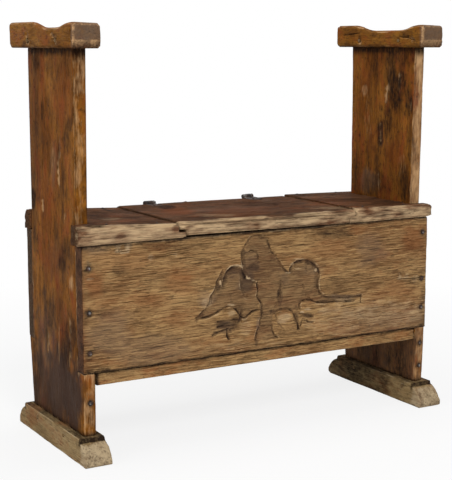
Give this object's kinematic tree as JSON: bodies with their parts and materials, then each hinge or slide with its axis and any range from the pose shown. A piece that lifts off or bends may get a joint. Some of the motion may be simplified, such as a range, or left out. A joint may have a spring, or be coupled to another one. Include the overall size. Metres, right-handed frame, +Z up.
{
  "type": "settle bench",
  "caption": "Low plank settle with a chest seat, hinged lid, two board uprights on sledge feet and block armrests.",
  "frame": {"origin": "on the floor, at the middle of the bench's overall box", "axes": "+X along the bench to the sitter's left, the front is -Y, +Z up"},
  "size_m": [0.952, 0.396, 0.9279],
  "materials": {
    "upright_wood": "warm orange-brown oiled softwood, rubbed smooth",
    "armrest_wood": "golden brown, grey-brown on the end grain",
    "foot_wood": "light tan, worn pale on the toes",
    "front_board_wood": "weathered tan-brown with open horizontal grain",
    "back_board_wood": "dark grey-brown, sawn",
    "seat_wood": "dark red-brown top with a pale worn nosing",
    "peg_wood": "dark end grain",
    "wrought_iron": "dark forged iron with brown rust"
  },
  "bodies": {
    "root": {"left_foot": "foot_wood", "right_foot": "foot_wood", "left_upright": "upright_wood", "right_upright": "upright_wood", "left_armrest": "armrest_wood", "right_armrest": "armrest_wood", "front_board": "front_board_wood", "back_board": "back_board_wood", "front_rail": "front_board_wood", "floor_board": "back_board_wood", "seat_end_left": "seat_wood", "seat_end_right": "seat_wood", "left_hinge_frame_leaf": "wrought_iron", "left_hinge_pin": "wrought_iron", "right_hinge_frame_leaf": "wrought_iron", "right_hinge_pin": "wrought_iron", "front_board_nails": "wrought_iron", "back_board_nails": "wrought_iron", "upright_edge_nails": "wrought_iron", "seat_nails": "wrought_iron", "hinge_frame_nails": "wrought_iron", "foot_pegs": "peg_wood", "armrest_pegs": "peg_wood"},
    "lid": {"lid": "seat_wood", "left_hinge_lid_leaf": "wrought_iron", "right_hinge_lid_leaf": "wrought_iron", "hinge_lid_nails": "wrought_iron"}
  },
  "joints": [
    {"name": "lid_hinge", "type": "hinge", "parent": "root", "child": "lid", "pos_m": [0, 0.169, 0.501], "axis": [-1, 0, 0], "range_deg": [0, 110]}
  ]
}
